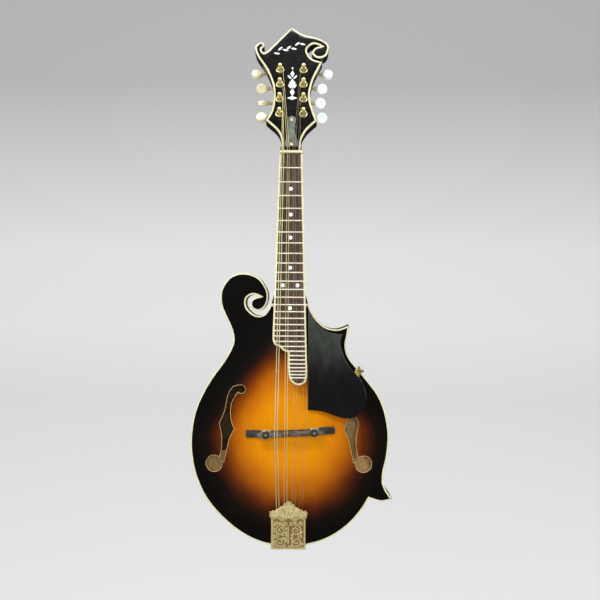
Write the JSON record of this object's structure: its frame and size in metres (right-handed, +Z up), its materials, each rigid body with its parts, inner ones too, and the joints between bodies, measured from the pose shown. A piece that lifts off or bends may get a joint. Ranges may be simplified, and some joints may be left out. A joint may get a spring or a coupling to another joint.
{
  "type": "mandolin",
  "caption": "Scroll-body mandolin with carved arched plates, f-shaped sound holes, adjustable bridge, sliding tailpiece cover and geared tuners.",
  "frame": {"origin": "centre line of the instrument, on the flat outer face of the tailpiece hanger, half way through the depth of the body's rim", "axes": "+Z up the instrument towards the headstock, -Y out of the carved front, +X towards the treble side"},
  "size_m": [0.2557, 0.1372, 0.6854],
  "materials": {
    "sunburst_spruce": "gloss sunburst lacquer, amber centre to black edge",
    "maple": "gloss dark sunburst lacquer",
    "raw_spruce": "bare wood",
    "ivory_binding": "gloss cream",
    "black_veneer": "gloss black lacquer",
    "pickguard_black": "polished black",
    "rosewood": "oiled",
    "ebony": "satin",
    "bone": "polished bone",
    "antique_brass": "engraved antique gold plate",
    "pearl_button": "pearloid",
    "nickel_steel": "polished",
    "gold_plate": "polished gold plate",
    "wound_bronze": "wound",
    "plain_steel": "drawn"
  },
  "bodies": {
    "instrument": {"back_binding": "ivory_binding", "back_lining": "raw_spruce", "back_plate": "maple", "bridge_base": "ebony", "bridge_post_bass": "gold_plate", "bridge_post_treble": "gold_plate", "fingerboard": "rosewood", "fingerboard_binding": "ivory_binding", "fingerboard_riser": "maple", "frets": "nickel_steel", "head_block": "raw_spruce", "headstock_binding": "ivory_binding", "headstock_overlay": "black_veneer", "neck": "maple", "nut": "bone", "pickguard": "pickguard_black", "pickguard_bracket": "gold_plate", "rim": "maple", "string_a1": "plain_steel", "string_a2": "plain_steel", "string_d1": "wound_bronze", "string_d2": "wound_bronze", "string_e1": "plain_steel", "string_e2": "plain_steel", "string_g1": "wound_bronze", "string_g2": "wound_bronze", "tail_block": "raw_spruce", "tailpiece_base": "antique_brass", "tone_bar_bass": "raw_spruce", "tone_bar_treble": "raw_spruce", "top_binding": "ivory_binding", "top_lining": "raw_spruce", "top_plate": "sunburst_spruce", "truss_cover_screw_lower": "gold_plate", "truss_cover_screw_upper": "gold_plate", "truss_rod": "nickel_steel", "truss_rod_cover": "black_veneer", "tuner_plate_bass": "gold_plate", "tuner_plate_treble": "gold_plate"},
    "button_g1": {"tuner_button_g1": "pearl_button"},
    "post_g1": {"string_post_g1": "gold_plate"},
    "button_g2": {"tuner_button_g2": "pearl_button"},
    "post_g2": {"string_post_g2": "gold_plate"},
    "button_d1": {"tuner_button_d1": "pearl_button"},
    "post_d1": {"string_post_d1": "gold_plate"},
    "button_d2": {"tuner_button_d2": "pearl_button"},
    "post_d2": {"string_post_d2": "gold_plate"},
    "button_a1": {"tuner_button_a1": "pearl_button"},
    "post_a1": {"string_post_a1": "gold_plate"},
    "button_a2": {"tuner_button_a2": "pearl_button"},
    "post_a2": {"string_post_a2": "gold_plate"},
    "button_e1": {"tuner_button_e1": "pearl_button"},
    "post_e1": {"string_post_e1": "gold_plate"},
    "button_e2": {"tuner_button_e2": "pearl_button"},
    "post_e2": {"string_post_e2": "gold_plate"},
    "saddle": {"bridge_saddle": "ebony"},
    "thumbwheel_bass": {"thumbwheel_bass": "gold_plate"},
    "thumbwheel_treble": {"thumbwheel_treble": "gold_plate"},
    "tail_cover": {"tailpiece_cover": "antique_brass"},
    "rod_nut": {"truss_rod_nut": "gold_plate"}
  },
  "joints": [
    {"name": "button_g1_turn", "type": "hinge", "parent": "instrument", "child": "button_g1", "pos_m": [-0.02, 0.03487, 0.55522], "axis": [1, 0, 0], "continuous": true},
    {"name": "post_g1_turn", "type": "hinge", "parent": "instrument", "child": "post_g1", "pos_m": [-0.0156, 0.01369, 0.55612], "axis": [0, 0.9291, -0.3697], "continuous": true},
    {"name": "button_g2_turn", "type": "hinge", "parent": "instrument", "child": "button_g2", "pos_m": [-0.02, 0.04337, 0.57659], "axis": [1, 0, 0], "continuous": true},
    {"name": "post_g2_turn", "type": "hinge", "parent": "instrument", "child": "post_g2", "pos_m": [-0.0156, 0.0222, 0.57749], "axis": [0, 0.9291, -0.3697], "continuous": true},
    {"name": "button_d1_turn", "type": "hinge", "parent": "instrument", "child": "button_d1", "pos_m": [-0.02, 0.05187, 0.59796], "axis": [1, 0, 0], "continuous": true},
    {"name": "post_d1_turn", "type": "hinge", "parent": "instrument", "child": "post_d1", "pos_m": [-0.0156, 0.0307, 0.59886], "axis": [0, 0.9291, -0.3697], "continuous": true},
    {"name": "button_d2_turn", "type": "hinge", "parent": "instrument", "child": "button_d2", "pos_m": [-0.02, 0.06038, 0.61933], "axis": [1, 0, 0], "continuous": true},
    {"name": "post_d2_turn", "type": "hinge", "parent": "instrument", "child": "post_d2", "pos_m": [-0.0156, 0.03921, 0.62023], "axis": [0, 0.9291, -0.3697], "continuous": true},
    {"name": "button_a1_turn", "type": "hinge", "parent": "instrument", "child": "button_a1", "pos_m": [0.02, 0.06038, 0.61933], "axis": [1, 0, 0], "continuous": true},
    {"name": "post_a1_turn", "type": "hinge", "parent": "instrument", "child": "post_a1", "pos_m": [0.0156, 0.03921, 0.62023], "axis": [0, 0.9291, -0.3697], "continuous": true},
    {"name": "button_a2_turn", "type": "hinge", "parent": "instrument", "child": "button_a2", "pos_m": [0.02, 0.05187, 0.59796], "axis": [1, 0, 0], "continuous": true},
    {"name": "post_a2_turn", "type": "hinge", "parent": "instrument", "child": "post_a2", "pos_m": [0.0156, 0.0307, 0.59886], "axis": [0, 0.9291, -0.3697], "continuous": true},
    {"name": "button_e1_turn", "type": "hinge", "parent": "instrument", "child": "button_e1", "pos_m": [0.02, 0.04337, 0.57659], "axis": [1, 0, 0], "continuous": true},
    {"name": "post_e1_turn", "type": "hinge", "parent": "instrument", "child": "post_e1", "pos_m": [0.0156, 0.0222, 0.57749], "axis": [0, 0.9291, -0.3697], "continuous": true},
    {"name": "button_e2_turn", "type": "hinge", "parent": "instrument", "child": "button_e2", "pos_m": [0.02, 0.03487, 0.55522], "axis": [1, 0, 0], "continuous": true},
    {"name": "post_e2_turn", "type": "hinge", "parent": "instrument", "child": "post_e2", "pos_m": [0.0156, 0.01369, 0.55612], "axis": [0, 0.9291, -0.3697], "continuous": true},
    {"name": "saddle_height", "type": "slide", "parent": "instrument", "child": "saddle", "axis": [0, 1, 0], "range_m": [0, 0.0025]},
    {"name": "thumbwheel_bass_turn", "type": "hinge", "parent": "saddle", "child": "thumbwheel_bass", "pos_m": [-0.02836, -0.046, 0.14683], "axis": [0, 1, 0], "range_deg": [0, 1290]},
    {"name": "thumbwheel_treble_turn", "type": "hinge", "parent": "saddle", "child": "thumbwheel_treble", "pos_m": [0.03156, -0.046, 0.14977], "axis": [0, 1, 0], "range_deg": [0, 1290]},
    {"name": "tail_cover_slide", "type": "slide", "parent": "instrument", "child": "tail_cover", "axis": [0, 0.0785, -0.9969], "range_m": [0, 0.03]},
    {"name": "rod_nut_turn", "type": "hinge", "parent": "instrument", "child": "rod_nut", "pos_m": [0, 0.00348, 0.51665], "axis": [0, 0.1219, 0.9925], "range_deg": [-180, 180]}
  ],
  "couplings": [
    {"joint": "post_g1_turn", "follows": "button_g1_turn", "ratio": 0.0625},
    {"joint": "post_g2_turn", "follows": "button_g2_turn", "ratio": 0.0625},
    {"joint": "post_d1_turn", "follows": "button_d1_turn", "ratio": 0.0625},
    {"joint": "post_d2_turn", "follows": "button_d2_turn", "ratio": 0.0625},
    {"joint": "post_a1_turn", "follows": "button_a1_turn", "ratio": -0.0625},
    {"joint": "post_a2_turn", "follows": "button_a2_turn", "ratio": -0.0625},
    {"joint": "post_e1_turn", "follows": "button_e1_turn", "ratio": -0.0625},
    {"joint": "post_e2_turn", "follows": "button_e2_turn", "ratio": -0.0625},
    {"joint": "thumbwheel_bass_turn", "follows": "saddle_height", "rad_per_m": 8976},
    {"joint": "thumbwheel_treble_turn", "follows": "saddle_height", "rad_per_m": 8976}
  ]
}
